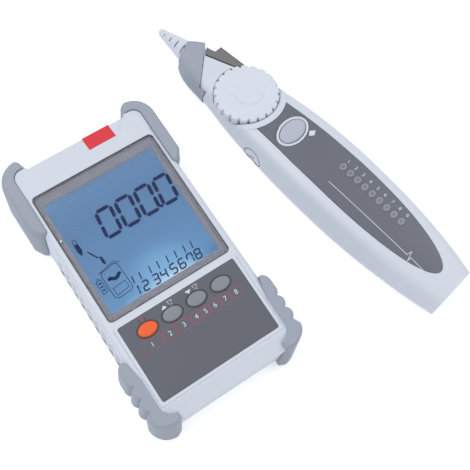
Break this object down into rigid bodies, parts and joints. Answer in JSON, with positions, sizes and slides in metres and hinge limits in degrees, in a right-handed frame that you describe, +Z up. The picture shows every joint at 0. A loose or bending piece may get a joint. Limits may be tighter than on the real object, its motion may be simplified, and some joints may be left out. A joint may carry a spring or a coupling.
{
  "type": "network cable tester with tracing receiver",
  "caption": "Handheld network cable tester with a lit display, a key row and rubber corners, lying beside its pen-shaped tracing receiver with a dial and a cone tip.",
  "frame": {"origin": "middle of the bounding box's base, on the surface that both units lie on", "axes": "+Z up out of the faces of both units, +Y along the tester towards its socket end, +X across the tester towards the receiver"},
  "size_m": [0.1886, 0.2224, 0.0352],
  "materials": {
    "white_plastic": "fine matt moulded plastic, cool white",
    "grey_rubber": "soft grey rubber",
    "dark_label": "printed dark grey film",
    "grey_key": "grey key rubber",
    "orange_key": "orange key rubber",
    "pale_key": "pale grey key plastic",
    "lens": "glossy clear window over a blue lit display",
    "display": "liquid crystal panel",
    "clear_plastic": "clear moulded plastic",
    "board": "green circuit board",
    "black_plastic": "black moulded plastic",
    "dark_plastic": "dark grey moulded plastic",
    "steel": "plain bright steel",
    "brass": "plain brass",
    "cell_jacket": "plain printed battery jacket"
  },
  "bodies": {
    "tester": {"tester_front_shell": "white_plastic", "tester_rear_shell": "white_plastic", "display_lens": "lens", "lcd_panel": "display", "display_backlight": "clear_plastic", "keypad_overlay": "dark_label", "top_right_bumper": "grey_rubber", "top_left_bumper": "grey_rubber", "bottom_right_bumper": "grey_rubber", "bottom_left_bumper": "grey_rubber", "tester_circuit_board": "board", "main_port": "black_plastic", "loopback_port": "black_plastic", "battery_cell_1": "cell_jacket", "battery_cell_2": "cell_jacket", "battery_cell_3": "cell_jacket", "battery_cell_4": "cell_jacket", "battery_contact_right": "steel", "battery_contact_left": "steel", "tester_screw_1": "steel", "tester_screw_2": "steel", "tester_screw_3": "steel", "tester_screw_4": "steel"},
    "receiver": {"receiver_upper_shell": "white_plastic", "receiver_lower_shell": "white_plastic", "probe_tip": "white_plastic", "antenna_rod": "brass", "tip_collar": "grey_rubber", "dial_control": "black_plastic", "receiver_overlay": "dark_label", "mode_ring": "white_plastic", "signal_light_strip": "clear_plastic", "receiver_port": "black_plastic", "earphone_socket": "white_plastic", "receiver_circuit_board": "board", "speaker": "black_plastic", "block_battery": "cell_jacket", "battery_snap": "black_plastic", "receiver_screw_1": "steel", "receiver_screw_2": "steel", "receiver_screw_3": "steel", "receiver_screw_4": "steel"},
    "power_key": {"power_button": "orange_key"},
    "up_key": {"up_button": "grey_key"},
    "down_key": {"down_button": "grey_key"},
    "scan_key": {"scan_button": "grey_key"},
    "tester_door": {"tester_battery_door": "white_plastic"},
    "dial": {"sensitivity_dial": "white_plastic", "dial_spindle": "steel"},
    "mode_key": {"mode_button": "pale_key"},
    "lever": {"lamp_lever": "dark_plastic"},
    "receiver_door": {"receiver_battery_door": "white_plastic"}
  },
  "joints": [
    {"name": "power_press", "type": "slide", "parent": "tester", "child": "power_key", "axis": [0, 0, -1], "range_m": [0, 0.0008], "stiffness_N_per_m": 900},
    {"name": "up_press", "type": "slide", "parent": "tester", "child": "up_key", "axis": [0, 0, -1], "range_m": [0, 0.0008], "stiffness_N_per_m": 900},
    {"name": "down_press", "type": "slide", "parent": "tester", "child": "down_key", "axis": [0, 0, -1], "range_m": [0, 0.0008], "stiffness_N_per_m": 900},
    {"name": "scan_press", "type": "slide", "parent": "tester", "child": "scan_key", "axis": [0, 0, -1], "range_m": [0, 0.0008], "stiffness_N_per_m": 900},
    {"name": "tester_door_slide", "type": "slide", "parent": "tester", "child": "tester_door", "axis": [0, -1, 0], "range_m": [0, 0.06]},
    {"name": "receiver_lift", "type": "slide", "parent": "tester", "child": "receiver", "axis": [0, 0, 1], "range_m": [0, 0.15]},
    {"name": "sensitivity_turn", "type": "hinge", "parent": "receiver", "child": "dial", "pos_m": [0.04733, 0.04502, 0.0206], "axis": [0.0282, -0.1363, -0.9903], "range_deg": [0, 280]},
    {"name": "mode_press", "type": "slide", "parent": "receiver", "child": "mode_key", "axis": [0, 0, -1], "range_m": [0, 0.001], "stiffness_N_per_m": 900},
    {"name": "lever_press", "type": "hinge", "parent": "receiver", "child": "lever", "pos_m": [0.0698, 0.03363, 0.01], "axis": [0, 0, 1], "range_deg": [0, 1.5], "stiffness_Nm_per_rad": 2},
    {"name": "receiver_door_slide", "type": "slide", "parent": "receiver", "child": "receiver_door", "axis": [0.2024, -0.9793, 0], "range_m": [0, 0.075]}
  ]
}
